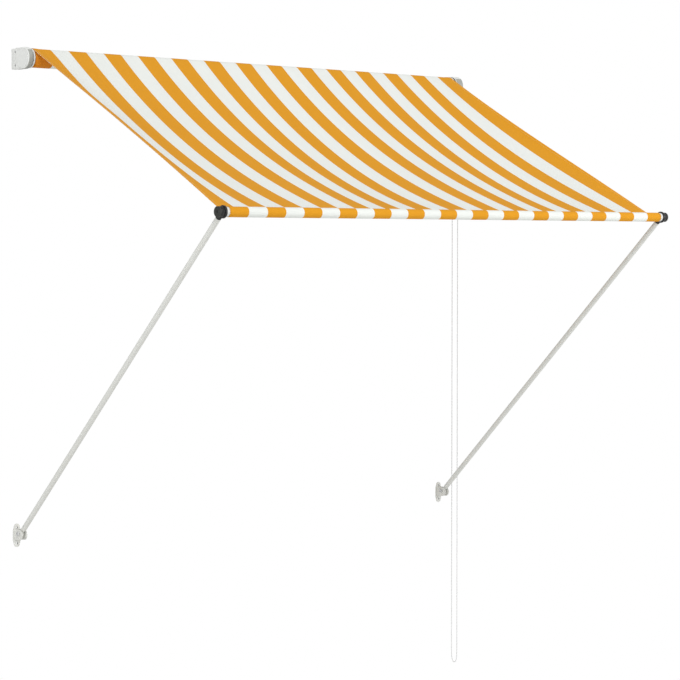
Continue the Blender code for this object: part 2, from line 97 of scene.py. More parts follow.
GAP = 0.0003  # clearance between touching pieces
CLOTH_THICK = 0.0008
HEM = 0.012  # width of the cloth turned under at each side
HEM_LAYER = 0.0010  # from the cloth down to its turned-under layer
HEM_BUILD = 0.0011  # the hems stand the cloth this much further off the roll
HEM_EASE = 0.020  # inside the hems, the cloth comes back to the roll over this width
TAIL_GAP = 0.0001  # clearance under the cloth's end on the roll
STITCH_PITCH = 0.0042
STITCH_LENGTH = 0.0031
THREAD = 0.00034  # thread radius

SEAM_DROP = 0.002  # the cloth meets the sleeve's back a little below its axis
SAG = 0.0735  # depth of the cloth's belly below a straight line
SAG_EXTRA = 0.0115  # a little more at one place
SAG_EXTRA_AT = 12.2  # that place, in stripes from the left
SAG_EXTRA_SPREAD = 3.6
SAG_SKEW = 0.035  # brings the deepest place towards the roller
HEM_RISE = 0.008  # the left hem bows up by this much
HEM_DROOP = 0.0065  # the right hem bows down
SWELL = 0.040  # broad swells where the cloth nears the bar
SWELL_WIDTH = 10  # from crest to crest, in stripes
SWELL_CREST = 7.2  # the first crest, in stripes from the left
DENT = 0.010  # a dent beside the left hem, near the roll
DENT_AT = (1.1, 0.20)  # its place: stripes from the left, share of the span
DENT_SPREAD = (0.7, 0.13)
TAUT = ((1.75, 1.3), (1.6, 0.9))  # left and right hem: reach of their pull in stripes, its power
RIPPLE = 0.0007  # height of the cloth's faint lengthways ripples
RIPPLES = (23.0, 51.0)  # how fast the two ripples run across, radians a metre
WRAP = math.radians(150)  # how far the cloth's end lies back over the roll
SPAN_ROWS = 72  # rows of the sheet's mesh from the roll to the bar
WRAP_ROWS = 26  # and on the roll
SPAN_COLUMNS = 190
ROLL_TURNS = 2
HEM_SEAM = 0.78  # the hem's stitches, as a share of its width from the edge
POCKET_SEAMS = ((0.9865, "back"), (0.9925, "front"))  # their share of the span
FLAP_START = 0.980  # the pocket's flap begins at this share of the span
FLAP_LAYER = 0.0011  # from the cloth down to the flap's stitches

ARM_OUT = 0.018  # out: the arms' middle plane
ARM_RADIUS = 0.009
ARM_WALL = 0.0013
ARM_TUBE = (0.026, ARM_LENGTH - 0.027)
SPIGOT_RADIUS = ARM_RADIUS - ARM_WALL - GAP
FOOT_RIVET = 0.042  # from the lower pivot
HEAD_RIVET = 0.045  # from the upper pivot

JOURNAL = {-1: 0.017, 1: 0.0405}  # out: ends of the roller's two journals
TUBE_WALL = 0.0015
COVER_FACE = {-1: 0.030, 1: 0.046}  # out: outer face of the left and of the right cover
COVER_MOUTH = 0.012  # out: the covers' open inner side
COVER_WALL = 0.0025
COVER_STEP = 0.0015  # the screw flange lies this much under the raised face
COVER_FLANGE = -0.0285  # Y where the raised face begins
COVER_SCREWS = ((-0.026, 0.0225), (-0.026, -0.0225))
COVER_FLANGE_HALF = 0.0345  # half the flange's height
LIP_INSET = 0.0050  # the face's groove, in from the drum's edge
LIP_WIDTH = 0.0008
CUT = 0.003  # how far a cutter reaches past what it cuts
RIM_SHADE_DEPTH = 0.0045  # painted shade: the cover's curved rim is painted grey from this far behind its face

CHAIN_OUT = 0.0355  # out: plane of the bead chain
CHAIN_RADIUS = 0.0154  # half the distance between the two strands
BEAD = 0.0042  # bead diameter
BEAD_PITCH = 0.0060
LINK_RADIUS = 0.00065
CHAIN_TOP = -0.028
CHAIN_BOTTOM = -2.2855
CHAIN_STEPS = 30
CHAIN_BEND = 0.009  # radius of the loop's lowest bend
CHAIN_BEND_HEIGHT = 0.060  # above it the two strands hang straight
CHAIN_BEND_STEPS = 16

BRACKET_MIDDLE = PIVOT.z - 0.009  # Z of the arm brackets' middle
BRACKET_HALF = 0.0295  # from there to the middles of its round tabs
BRACKET_TAB = 0.0105  # their radius
BRACKET_BODY = (0.0145, 0.017)  # half the width and half the height of its straight middle
BRACKET_PLATE = 0.004
BRACKET_CHEEK = 0.003
BRACKET_HOLES = (0.0265, -0.0265)  # screw holes above and below its middle
BRACKET_HOLE = 0.0036  # nothing but a hole's wall lies this near to its axis
PIVOT_HOLE = 0.0043
RIVET_HOLE = 0.0018

ROUND = 56  # steps round a turned piece
SIDES = ((-1, "left"), (1, "right"))

# ---- shader kit


class Wire:
    """A socket's value in Python arithmetic: each operator adds a Math node."""

    def __init__(self, paint, socket):
        self.paint = paint
        self.socket = socket

    def maths(self, operation, *others):
        values = {index: value for index, value in enumerate(others)}
        return self.paint.node("ShaderNodeMath", {"operation": operation}, values)

    def operator(operation):
        """An operator, and its reflected form for a number on the left."""
        return (lambda self, other: self.maths(operation, self, other),
                lambda self, other: self.maths(operation, other, self))

    __add__, __radd__ = operator("ADD")
    __sub__, __rsub__ = operator("SUBTRACT")
    __mul__, __rmul__ = operator("MULTIPLY")
    __truediv__, __rtruediv__ = operator("DIVIDE")

    def __lt__(self, other):
        return self.maths("LESS_THAN", self, other)

    def fraction(self):
        return self.maths("FRACT", self)

    def sine(self):
        return self.maths("SINE", self)


class Paint:
    """One material's node tree, round a single Principled shader."""

    def __init__(self, name, **uniform):
        self.material = bpy.data.materials.new(name)
        self.material.use_nodes = True
        self.tree = self.material.node_tree
        self.shader = self.tree.nodes["Principled BSDF"]
        for socket, value in uniform.items():
            self.shader.inputs[socket.replace("_", " ")].default_value = value

    def node(self, kind, settings=None, values=None, output=0):
        """Add a node: its settings first, then its sockets' values or links."""
        made = self.tree.nodes.new(kind)
        for setting, value in (settings or {}).items():
            setattr(made, setting, value)
        for socket, value in (values or {}).items():
            if isinstance(value, Wire):
                self.tree.links.new(value.socket, made.inputs[socket])
            else:
                made.inputs[socket].default_value = value
        return Wire(self, made.outputs[output])

    def mix(self, factor, first, second):
        """Mix two colours."""
        values = {0: factor, 6: first, 7: second}
        return self.node("ShaderNodeMix", {"data_type": "RGBA"}, values, 2)

    def noise(self, scale, detail, rough, where):
        values = {"Scale": scale, "Detail": detail, "Roughness": rough, "Vector": where}
        return self.node("ShaderNodeTexNoise", {}, values)

    def place(self):
        """Where a point is on the awning at rest, in metres."""
        return self.node("ShaderNodeTexCoord", {}, {}, "Object")

    def stretched(self, where, x, y, z):
        """The place with its axes scaled, so that a noise draws out into streaks."""
        values = {0: where, 1: (x, y, z)}
        return self.node("ShaderNodeVectorMath", {"operation": "MULTIPLY"}, values)

    def spread(self, value, low, high, first, last):
        """Map low..high of a value onto first..last, held at both ends."""
        values = {"Value": value, "From Min": low, "From Max": high}
        values.update({"To Min": first, "To Max": last})
        return self.node("ShaderNodeMapRange", {}, values)

    def bump(self, height, strength, distance):
        values = {"Strength": strength, "Distance": distance, "Height": height}
        return self.node("ShaderNodeBump", {}, values)

    def finish(self, colour, roughness, normal):
        for socket, wire in {"Base Color": colour, "Roughness": roughness, "Normal": normal}.items():
            self.tree.links.new(wire.socket, self.shader.inputs[socket])
        return self.material


def shade(red, green, blue):
    return (red, green, blue, 1.0)


# ---- finishes

YELLOW = shade(0.700, 0.312, 0.018)
YELLOW_DEEP = shade(0.650, 0.278, 0.012)
# painted shade: the deeper, redder yellow of the turns on the roller
YELLOW_ROLL_SHADE = shade(0.560, 0.170, 0.012)
OFF_WHITE = shade(0.775, 0.795, 0.765)
OFF_WHITE_DEEP = shade(0.725, 0.745, 0.712)
YARN = 0.00085  # pitch of the plain weave
WANDER = 0.0009  # how far the edge of a stripe strays
BLOCK = 2 * STRIPE  # one yellow and one white stripe


def canvas(name, roll_shade=0.0):
    """Solution-dyed plain-weave canvas, in warp stripes. Its "cloth" map is in metres.

    The second value is how far its yellow turns to a deeper, redder yellow: painted shade for the
    turns on the roller, which lie under the open cloth.
    """
    paint = Paint(name, Sheen_Weight=0.02, Sheen_Roughness=0.45, Specular_IOR_Level=0.10)
    map_point = paint.node("ShaderNodeUVMap", {"uv_map": "cloth"}, {})
    across = paint.node("ShaderNodeSeparateXYZ", {}, {0: map_point}, 0)
    along = paint.node("ShaderNodeSeparateXYZ", {}, {0: map_point}, 1)

    # a warp yarn wanders a little where two colours meet
    wander = paint.noise(260.0, 2.0, 0.5, map_point) - 0.5
    yellow = ((across + wander * WANDER) / BLOCK).fraction() < 0.5

    # plain weave: raised warp and weft floats in a chequer of half pitches
    turn = 2 * math.pi / YARN
    warp = (across * turn).sine()
    weft = (along * turn).sine()
    weave = warp * weft
    slub_warp = paint.noise(1.0, 3.0, 0.6, paint.stretched(map_point, 1900.0, 55.0, 1.0))
    slub_weft = paint.noise(1.0, 3.0, 0.6, paint.stretched(map_point, 55.0, 1900.0, 1.0))
    slubs = slub_warp + slub_weft

    # yarn-to-yarn tone and broad weathering, and painted shade: the weave's low places are a little
    # darker
    cloud = paint.noise(3.1, 4.0, 0.6, map_point)
    streak = paint.noise(1.0, 4.0, 0.55, paint.stretched(map_point, 42.0, 2.2, 1.0))
    # the weave term paints shade into the weave's hollows
    worn = slubs * 0.30 + cloud * 0.9 + streak * 0.55 + weave * 0.045
    tone = paint.spread(worn, 0.55, 1.55, 0.0, 1.0)
    gold = paint.mix(tone, YELLOW_DEEP, YELLOW)
    if roll_shade:
        gold = paint.mix(roll_shade, gold, YELLOW_ROLL_SHADE)
    pale = paint.mix(tone, OFF_WHITE_DEEP, OFF_WHITE)
    colour = paint.mix(yellow, pale, gold)

    roughness = paint.spread(slubs + cloud, 0.9, 2.1, 0.74, 0.88)
    height = weave * 0.5 + slubs * 0.9
    return paint.finish(colour, roughness, paint.bump(height, 0.38, 0.00022))


def powder_coat(name, tint):
    """Polyester powder on steel: orange peel and a little dust, some of it in streaks."""
    paint = Paint(name, Coat_Roughness=0.18, Specular_IOR_Level=0.5)
    where = paint.place()
    peel = paint.noise(620.0, 2.0, 0.45, where)
    dust = paint.noise(9.0, 5.0, 0.62, where)
    run = paint.noise(1.0, 3.0, 0.55, paint.stretched(where, 60.0, 60.0, 4.0))
    grime = paint.spread(dust * 0.7 + run * 0.5, 0.52, 0.82, 0.0, 1.0)
    dusty = shade(tint[0] * 0.965, tint[1] * 0.962, tint[2] * 0.945)
    colour = paint.mix(grime, tint, dusty)
    roughness = paint.spread(dust + peel * 0.25, 0.4, 0.9, 0.30, 0.46)
    return paint.finish(colour, roughness, paint.bump(peel, 0.05, 0.00004))


def moulded(name, tint, roughness, scaled, raised=0.0):
    """Injection-moulded plastic with a fine spark-eroded grain.

    Where it is worn, its colour is scaled and raised by the last two values.
    """
    paint = Paint(name, Specular_IOR_Level=0.45)
    where = paint.place()
    grain = paint.noise(1400.0, 2.0, 0.6, where)
    flow = paint.noise(14.0, 4.0, 0.6, where)
    scuff = paint.noise(1.0, 4.0, 0.7, paint.stretched(where, 120.0, 260.0, 190.0))
    worn = paint.spread(flow * 0.8 + scuff * 0.5, 0.55, 0.90, 0.0, 1.0)
    rubbed = shade(*[channel * scaled + raised for channel in tint[:3]])
    colour = paint.mix(worn, tint, rubbed)
    rough = paint.spread(flow + grain * 0.3, 0.4, 0.95, roughness - 0.06, roughness + 0.09)
    return paint.finish(colour, rough, paint.bump(grain, 0.20, 0.00008))


def zinc(name, tone):
    """Bright zinc plating: soft spangle, fine brush lines and dull patches."""
    paint = Paint(name, Metallic=1.0)
    where = paint.place()
    spangle = paint.node("ShaderNodeTexVoronoi", {}, {"Vector": where, "Scale": 420.0}, 0)
    patch = paint.noise(70.0, 4.0, 0.6, where)
    brushed = paint.noise(1.0, 3.0, 0.5, paint.stretched(where, 2400.0, 160.0, 160.0))
    dull = paint.spread(spangle * 0.35 + patch * 0.8 + brushed * 0.2, 0.45, 0.95, 0.0, 1.0)
    bright = shade(tone, tone * 1.01, tone * 1.02)
    grey = shade(tone * 0.72, tone * 0.73, tone * 0.74)
    colour = paint.mix(dull, bright, grey)
    roughness = paint.spread(dull + brushed * 0.3, 0.0, 1.3, 0.26, 0.50)
    return paint.finish(colour, roughness, paint.bump(brushed + spangle, 0.18, 0.00006))


def nylon(name):
    """Slightly milky bearing nylon with a moulding grain."""
    paint = Paint(name, Subsurface_Weight=0.06, Specular_IOR_Level=0.5)
    where = paint.place()
    mottle = paint.noise(90.0, 4.0, 0.6, where)
    grain = paint.noise(1800.0, 2.0, 0.5, where)
    colour = paint.mix(mottle, shade(0.66, 0.66, 0.61), shade(0.76, 0.76, 0.73))
    rough = paint.spread(mottle, 0.3, 0.7, 0.36, 0.52)
    return paint.finish(colour, rough, paint.bump(grain, 0.15, 0.00006))


def spring_steel(name):
    """Oiled spring wire with drawing lines."""
    paint = Paint(name, Metallic=1.0)
    where = paint.place()
    drawn = paint.noise(1.0, 3.0, 0.6, paint.stretched(where, 900.0, 2600.0, 2600.0))
    oil = paint.noise(160.0, 3.0, 0.6, where)
    colour = paint.mix(oil, shade(0.38, 0.38, 0.40), shade(0.52, 0.51, 0.50))
    rough = paint.spread(drawn, 0.3, 0.7, 0.22, 0.38)
    return paint.finish(colour, rough, paint.bump(drawn, 0.2, 0.00004))


def bead_plastic(name):
    """Glossy acetal beads, a little duller where they are handled most."""
    paint = Paint(name, Specular_IOR_Level=0.5, Coat_Roughness=0.12)
    where = paint.place()
    handled = paint.noise(4.0, 3.0, 0.6, where)
    fine = paint.noise(900.0, 2.0, 0.5, where)
    colour = paint.mix(handled, shade(0.58, 0.585, 0.59), shade(0.66, 0.665, 0.67))
    rough = paint.spread(handled + fine * 0.3, 0.4, 0.9, 0.20, 0.36)
    return paint.finish(colour, rough, paint.bump(fine, 0.12, 0.00005))


def sewing_thread(name):
    """Bonded polyester thread with its twist."""
    paint = Paint(name, Sheen_Weight=0.1, Specular_IOR_Level=0.4)
    where = paint.place()
    twist = paint.noise(1.0, 2.0, 0.5, paint.stretched(where, 3200.0, 1400.0, 1400.0))
    soil = paint.noise(25.0, 3.0, 0.6, where)
    fade = soil * 0.6 + twist * 0.3
    colour = paint.mix(fade, shade(0.66, 0.44, 0.16), shade(0.76, 0.60, 0.36))
    rough = paint.spread(twist, 0.3, 0.7, 0.42, 0.60)
    return paint.finish(colour, rough, paint.bump(twist, 0.3, 0.00006))


CANVAS = canvas("striped_canvas_cloth")
# painted shade: the turns on the roller, in the open cloth's shadow, get a deeper yellow
SHADED_WOUND_CANVAS = canvas("wound_canvas_painted_shade", 0.80)
COAT = powder_coat("arm_powder_coat", shade(0.660, 0.665, 0.636))
WHITE_PLASTIC = moulded("white_cover_plastic", shade(0.725, 0.735, 0.712), 0.38, 0.96)
# painted shade: a darker grey for the covers' curved rim, standing for the rim's shade
RIM_SHADE_PLASTIC = moulded("painted_shade_rim_plastic", shade(0.34, 0.35, 0.325), 0.50, 0.94)
BLACK_PLASTIC = moulded("black_end_plastic", shade(0.008, 0.008, 0.009), 0.36, 1.0, 0.007)
CAP_PLASTIC = moulded("grey_cap_plastic", shade(0.022, 0.023, 0.021), 0.62, 1.0, 0.009)
ZINC = zinc("zinc_plating", 0.84)
# painted shade: a much darker zinc for the cover screws, standing for the shade in their recesses
SHADED_SCREW_ZINC = zinc("screw_zinc_painted_shade", 0.40)
BLACK_SCREW = zinc("blackened_screw", 0.06)
NYLON = nylon("bearing_nylon")
SPRING = spring_steel("spring_wire")
BEADS = bead_plastic("bead_acetal")
THREADS = sewing_thread("seam_thread")
# painted shade: a near-black for the walls of the bracket's screw holes
HOLE_DARK = moulded("shaded_hole_wall", shade(0.05, 0.05, 0.05), 0.70, 1.0, 0.02)

# ---- mesh kit


def at(side, out):
    """X of a point that lies 'out' beyond the left (-1) or right (+1) cloth edge."""
    return CLOTH_LEFT - out if side < 0 else CLOTH_RIGHT + out


def arc(middle, radius, first, last, steps):
    """Points of a circle in a plane; degrees from the first axis towards the second."""
    points = []
    for i in range(steps + 1):
        angle = math.radians(first + (last - first) * i / steps)
        points.append((middle[0] + radius * math.cos(angle), middle[1] + radius * math.sin(angle)))
    return points


def clean(mesh, near=1e-6, slivers=True):
    """Merge doubled points, drop slivers unless they may stay, and turn every face outwards."""
    work = bmesh.new()
    work.from_mesh(mesh)
    bmesh.ops.remove_doubles(work, verts=work.verts, dist=near)
    if not slivers:
        bmesh.ops.dissolve_degenerate(work, edges=work.edges, dist=near)
    bmesh.ops.recalc_face_normals(work, faces=work.faces)
    work.to_mesh(mesh)
    work.free()
    return mesh


def meshed(name, points, faces):
    mesh = bpy.data.meshes.new(name)
    mesh.from_pydata(points, [], faces)
    return mesh


def turned(profile, steps=ROUND, closed=False):
    """Turn (radius, x) points about the X axis; closed joins the last to the first."""
    points, faces = [], []
    for radius, x in profile:
        for i in range(steps):
            angle = 2 * math.pi * i / steps
            points.append((x, radius * math.cos(angle), radius * math.sin(angle)))
    count = len(profile)
    for row in range(count if closed else count - 1):
        near, far = row * steps, (row + 1) % count * steps
        for i in range(steps):
            j = (i + 1) % steps
            faces.append((near + i, near + j, far + j, far + i))
    return clean(meshed("turned", points, faces), 1e-7, False)


def disc(radius, start, end, steps=ROUND):
    return turned([(0, end), (radius, end), (radius, start), (0, start)], steps)


def plate(outline, start, end):
    """A flat slab with the (y, z) outline, from start to end along X."""
    count = len(outline)
    points = [(x, y, z) for x in (start, end) for y, z in outline]
    faces = [tuple(range(count)), tuple(range(2 * count - 1, count - 1, -1))]
    for i in range(count):
        j = (i + 1) % count
        faces.append((i, j, count + j, count + i))
    return clean(meshed("plate", points, faces))


def block(low, high):
    corners = [(low[1], low[2]), (high[1], low[2]), (high[1], high[2]), (low[1], high[2])]
    return plate(corners, low[0], high[0])


def moved(mesh, spot=(0, 0, 0), turn=None):
    if turn:
        mesh.transform(turn)
    mesh.transform(Matrix.Translation(Vector(spot)))
    return mesh


def evaluated(item):
    """The mesh of an object with its modifiers, linked for a moment and then removed."""
    bpy.context.scene.collection.objects.link(item)
    bpy.context.view_layer.update()
    source = item.evaluated_get(bpy.context.evaluated_depsgraph_get())
    made = bpy.data.meshes.new_from_object(source)
    bpy.data.objects.remove(item, do_unlink=True)
    return made


def combined(base, others, operation="DIFFERENCE"):
    """Cut others from the base mesh, or join them to it, one exact Boolean after another."""
    item = bpy.data.objects.new("base", base)
    tools = []
    for index, other in enumerate(others):
        tool = bpy.data.objects.new(f"tool_{index}", other)
        bpy.context.scene.collection.objects.link(tool)
        tools.append(tool)
        step = item.modifiers.new(f"step_{index}", "BOOLEAN")
        step.operation = operation
        step.solver = "EXACT"
        step.object = tool
    made = evaluated(item)
    for tool in tools:
        bpy.data.objects.remove(tool, do_unlink=True)
    return clean(made)


def joined(base, others):
    return combined(base, others, "UNION")


def softened(mesh, width, segments=3, angle=35):
    """The same mesh with its sharp edges rounded."""
    item = bpy.data.objects.new("softened", mesh)
    bevel = item.modifiers.new("Bevel", "BEVEL")
    bevel.width = width
    bevel.segments = segments
    bevel.limit_method = "ANGLE"
    bevel.angle_limit = math.radians(angle)
    bevel.use_clamp_overlap = True
    return clean(evaluated(item))


def faced(mesh, side):
    """A piece made with +X outboard, turned round for the left-hand end."""
    if side < 0:
        mesh.transform(Matrix.Rotation(math.pi, 4, "Z"))
    return mesh


def shown(mesh, name, paint, stands_for=()):
    """Make a mesh a piece of the awning: smooth, painted and named."""
    mesh.name = name
    mesh.shade_smooth()
    mesh.set_sharp_from_angle(angle=math.radians(38))
    mesh.materials.clear()
    mesh.materials.append(paint)
    piece = bpy.data.objects.new(name, mesh)
    bpy.context.scene.collection.objects.link(piece)
    if stands_for:
        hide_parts(*stands_for)
    return piece


def fitted(mesh, name, body, paint, slot, stands_for=()):
    """A rigid piece that rides on one body."""
    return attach(shown(mesh, name, paint, stands_for), body)


def hoop(spot, ahead, radius, sides):
    """Points of a circle round a spot, square to the direction ahead."""
    across = ahead.cross(Vector((1, 0, 0)))
    if across.length < 0.1:
        across = ahead.cross(Vector((0, 0, 1)))
    across.normalize()
    up = across.cross(ahead)
    angles = [2 * math.pi * i / sides for i in range(sides)]
    return [spot + radius * (across * math.cos(angle) + up * math.sin(angle)) for angle in angles]


def skinned(first, rows, sides):
    """Faces of a closed tube whose rows of points begin at the index first."""
    faces = []
    for row in range(rows - 1):
        near, far = first + row * sides, first + (row + 1) * sides
        for i in range(sides):
            j = (i + 1) % sides
            faces.append((near + i, near + j, far + j, far + i))
    last = first + rows * sides
    faces.append(tuple(range(first + sides - 1, first - 1, -1)))
    faces.append(tuple(range(last - sides, last)))
    return faces


def painted(piece, paint, chosen):
    """Give a second material, painted shade in both uses, to the faces chosen by their middle and
    their normal.
    """
    piece.data.materials.append(paint)
    for face in piece.data.polygons:
        if chosen(face.center, face.normal):
            face.material_index = 1


def tube(route, radius, sides=8):
    """A round tube along a route of points."""
    points = []
    for spot, ahead in directions(route):
        points += hoop(spot, ahead, radius, sides)
    return clean(meshed("tube", points, skinned(0, len(route), sides)))


def directions(route):
    """Each point of a route with the direction in which it runs there."""
    route = [Vector(spot) for spot in route]
    made = []
    for i, spot in enumerate(route):
        ahead = route[min(i + 1, len(route) - 1)] - route[max(i - 1, 0)]
        made.append((spot, ahead.normalized()))
    return made


def walked(route, pitch, start=0.0):
    """Points at an equal pitch along a route, each with its direction."""
    route = [Vector(spot) for spot in route]
    made, due, gone = [], start, 0.0
    for near, far in zip(route, route[1:]):
        step = (far - near).length
        while due <= gone + step:
            made.append((near.lerp(far, (due - gone) / step), (far - near).normalized()))
            due += pitch
        gone += step
    return made


def strung(spots, rings, sides):
    """Copies of one small turned body, given as (along, radius) rings, at each spot."""
    points, faces = [], []
    for spot, ahead in spots:
        faces += skinned(len(points), len(rings), sides)
        for along, radius in rings:
            points += hoop(spot + ahead * along, ahead, radius, sides)
    return meshed("strung", points, faces)


# ---- cloth


def belly(x):
    """How deep the cloth hangs below a straight line at x; it is nearly taut at its two hems."""
    from_left = max(x - CLOTH_LEFT, 0) / STRIPE
    from_right = max(CLOTH_RIGHT - x, 0) / STRIPE
    hems = 1
    for distance, (reach, power) in zip((from_left, from_right), TAUT):
        hems *= 1 - math.exp(-(distance / reach) ** power)
    extra = SAG_EXTRA * math.exp(-((from_left - SAG_EXTRA_AT) / SAG_EXTRA_SPREAD) ** 2)
    edges = HEM_DROOP * math.exp(-(from_right / 0.6) ** 2) - HEM_RISE * math.exp(-2 * from_left)
    return hems * (SAG + extra) + edges


def swell(x, share):
    """The cloth's height above its plain belly: swells by the bar, a dent, faint warp ripples."""
    from_left = max(x - CLOTH_LEFT, 0) / STRIPE
    from_right = max(CLOTH_RIGHT - x, 0) / STRIPE
    crest = math.cos(2 * math.pi * (from_left - SWELL_CREST) / SWELL_WIDTH)
    stronger = 1 + 0.9 * math.exp(-(from_left / 3) ** 2)
    fade = 1 - math.exp(-(from_right / 2) ** 2)
    height = SWELL * share ** 3 * (1 - share) * crest * stronger * fade
    away = ((from_left - DENT_AT[0]) / DENT_SPREAD[0]) ** 2
    away += ((share - DENT_AT[1]) / DENT_SPREAD[1]) ** 2
    height -= DENT * math.exp(-away) * min(1, share / 0.08)
    free = max(0, math.sin(math.pi * share) * min(1, from_left / 1.4, from_right / 1.4))
    ripple = math.sin(RIPPLES[0] * x + 1.3) + 0.6 * math.sin(RIPPLES[1] * x + 4.0 * share)
    return height + RIPPLE * free * ripple


def hem_build(x):
    """How far the turned hems stand the cloth off the roll at x."""
    inside = min(x - CLOTH_LEFT, CLOTH_RIGHT - x) - HEM
    ease = min(1, max(0, inside / HEM_EASE))
    return HEM_BUILD * (1 - ease * ease * (3 - 2 * ease))


def span_point(x, share):
    """A point of the open span: share 0 leaves the roll, share 1 is at the back of the bar."""
    depth = belly(x)
    skew = SAG_SKEW * (1 - 0.6 * math.exp(-(x - CLOTH_LEFT) / STRIPE))
    lift = CLOTH_THICK / 2 + GAP
    end = Vector((BAR.y + SLEEVE_RADIUS + lift, BAR.z - SEAM_DROP))
    reach = ROLLER.y - end.x
    leave = math.atan((4 * depth + skew - end.y) / reach)
    radius = ROLL_RADIUS + lift + hem_build(x)
    start = Vector((ROLLER.y - radius * math.sin(leave), radius * math.cos(leave)))
    line = start.lerp(end, share)
    dip = share * (1 - share) * (4 * depth + skew * (1 - 2 * share))
    return Vector((x, line.x, line.y - dip + swell(x, share))), leave


def cloth_run(x):
    """The cloth's line at x, from its end on the roll to the bar."""
    leave = span_point(x, 0)[1]
    run = []
    for i in range(WRAP_ROWS):
        back = (1 - i / WRAP_ROWS) * WRAP
        # the cloth comes closer to the roll towards its end
        clear = TAIL_GAP + (GAP - TAIL_GAP) * math.cos(back / WRAP * math.pi / 2)
        radius = ROLL_RADIUS + CLOTH_THICK / 2 + clear + hem_build(x)
        angle = leave - back
        run.append(Vector((x, ROLLER.y - radius * math.sin(angle), radius * math.cos(angle))))
    return run + [span_point(x, i / SPAN_ROWS)[0] for i in range(SPAN_ROWS + 1)]


def cloth_columns():
    """(x, drop, map_x) of the sheet's columns, round the fold of each hem and across."""
    fold = HEM_LAYER / 2
    # share of the hem's width, drop, and share of the hem's width on the map
    turn = [(0.0, HEM_LAYER, 1.0), (0.5, HEM_LAYER, 0.5), (0.86, HEM_LAYER, 0.1)]
    for degrees in (30, 60, 90, 120, 150):
        angle = math.radians(degrees)
        turn.append((0.96 - 0.04 * math.sin(angle), fold + fold * math.cos(angle), 0.0))
    left = [(CLOTH_LEFT + HEM * (1 - t), drop, -HEM * u) for t, drop, u in turn]
    right = [(CLOTH_RIGHT - HEM * (1 - t), drop, CLOTH_RIGHT - CLOTH_LEFT + HEM * u)
             for t, drop, u in reversed(turn)]
    inner = []
    for i in range(SPAN_COLUMNS + 1):
        even = i / SPAN_COLUMNS
        crowded = 0.5 - 0.5 * math.cos(math.pi * even)
        across = even + 0.55 * (crowded - even)
        x = CLOTH_LEFT + 0.0012 + across * (CLOTH_RIGHT - CLOTH_LEFT - 0.0024)
        inner.append((x, 0.0, x - CLOTH_LEFT))
    return left + inner + right


def dropped(run, drop):
    """A run of cloth moved down through its own thickness by drop."""
    made = []
    for spot, ahead in directions(run):
        made.append(spot - ahead.cross(Vector((1, 0, 0))).normalized() * drop)
    return made


def grid_mesh(columns, maps):
    """A sheet from columns of points, with its "cloth" map."""
    height = len(columns[0])
    points = [spot for column in columns for spot in column]
    flat = [uv for column in maps for uv in column]
    faces = []
    for c in range(len(columns) - 1):
        for r in range(height - 1):
            near, far = c * height + r, (c + 1) * height + r
            faces.append((near, far, far + 1, near + 1))
    mesh = meshed("sheet", points, faces)
    layer = mesh.uv_layers.new(name="cloth")
    for loop in mesh.loops:
        layer.data[loop.index].uv = flat[loop.vertex_index]
    return mesh


def sewn(columns, maps, name, paint=CANVAS, stands_for=(), thick=CLOTH_THICK):
    """A piece of cloth with its thickness, from columns of points."""
    piece = shown(grid_mesh(columns, maps), name, paint, stands_for)
    skin = piece.modifiers.new("Solidify", "SOLIDIFY")
    skin.thickness = thick
    skin.offset = 0
    return piece


def lengths(route):
    """How far along a route each of its points is."""
    made = [0.0]
    for near, far in zip(route, route[1:]):
        made.append(made[-1] + (Vector(far) - Vector(near)).length)
    return made


def hung(piece):
    """A piece of the span, with its placing baked into its points."""
    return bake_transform(piece)


def canopy_sheet():
    """The cloth from its end on the roll to the bar, with its hems; and its cut length."""
    columns, maps = [], []
    for x, drop, map_x in cloth_columns():
        run = cloth_run(min(max(x, CLOTH_LEFT), CLOTH_RIGHT))
        columns.append(dropped(run, drop) if drop else run)
        maps.append([(map_x, distance) for distance in lengths(run)])
    piece = hung(sewn(columns, maps, "canopy_sheet", stands_for=["canopy"]))
    return piece, lengths(cloth_run((CLOTH_LEFT + CLOTH_RIGHT) / 2))[-1]


def stitched(name, route):
    """A row of lockstitches that stand just proud of the cloth along a route."""
    spots = walked(route, STITCH_PITCH, STITCH_PITCH / 2)
    half = STITCH_LENGTH / 2
    rings = [(-half, THREAD * 0.35), (-half * 0.7, THREAD), (0, THREAD * 1.15),
             (half * 0.7, THREAD), (half, THREAD * 0.35)]
    return hung(shown(strung(spots, rings, 6), name, THREADS))


def span_route(x, first, last, lift, steps=160):
    """A line down the cloth at x, lifted off its surface."""
    run = [span_point(x, first + (last - first) * i / steps)[0] for i in range(steps + 1)]
    return dropped(run, -lift)


def across_route(share, lift, steps=240):
    """A line across the cloth, lifted off its surface."""
    made = []
    for i in range(steps + 1):
        x = CLOTH_LEFT + 0.002 + (CLOTH_RIGHT - CLOTH_LEFT - 0.004) * i / steps
        here, ahead = span_point(x, share)[0], span_point(x, min(share + 0.004, 1.0))[0]
        if share > 0.996:
            here, ahead = span_point(x, share - 0.004)[0], here
        normal = (ahead - here).cross(Vector((1, 0, 0))).normalized()
        made.append(span_point(x, share)[0] + normal * lift)
    return made


def sewing():
    """The hems' stitches and the double row that closes the bar's pocket."""
    over = CLOTH_THICK / 2 + THREAD * 0.35
    rows = []
    for side, word in SIDES:
        x = at(side, -HEM * HEM_SEAM)
        for face, lift in (("top", over), ("under", -over - HEM_LAYER)):
            route = span_route(x, 0.012, 0.995, lift)
            rows.append(stitched(f"hem_stitches_{word}_{face}", route))
    for share, word in POCKET_SEAMS:
        rows.append(stitched(f"pocket_stitches_{word}", across_route(share, over)))
        under = across_route(share, -over - FLAP_LAYER)
        rows.append(stitched(f"pocket_stitches_{word}_under", under))
    return rows


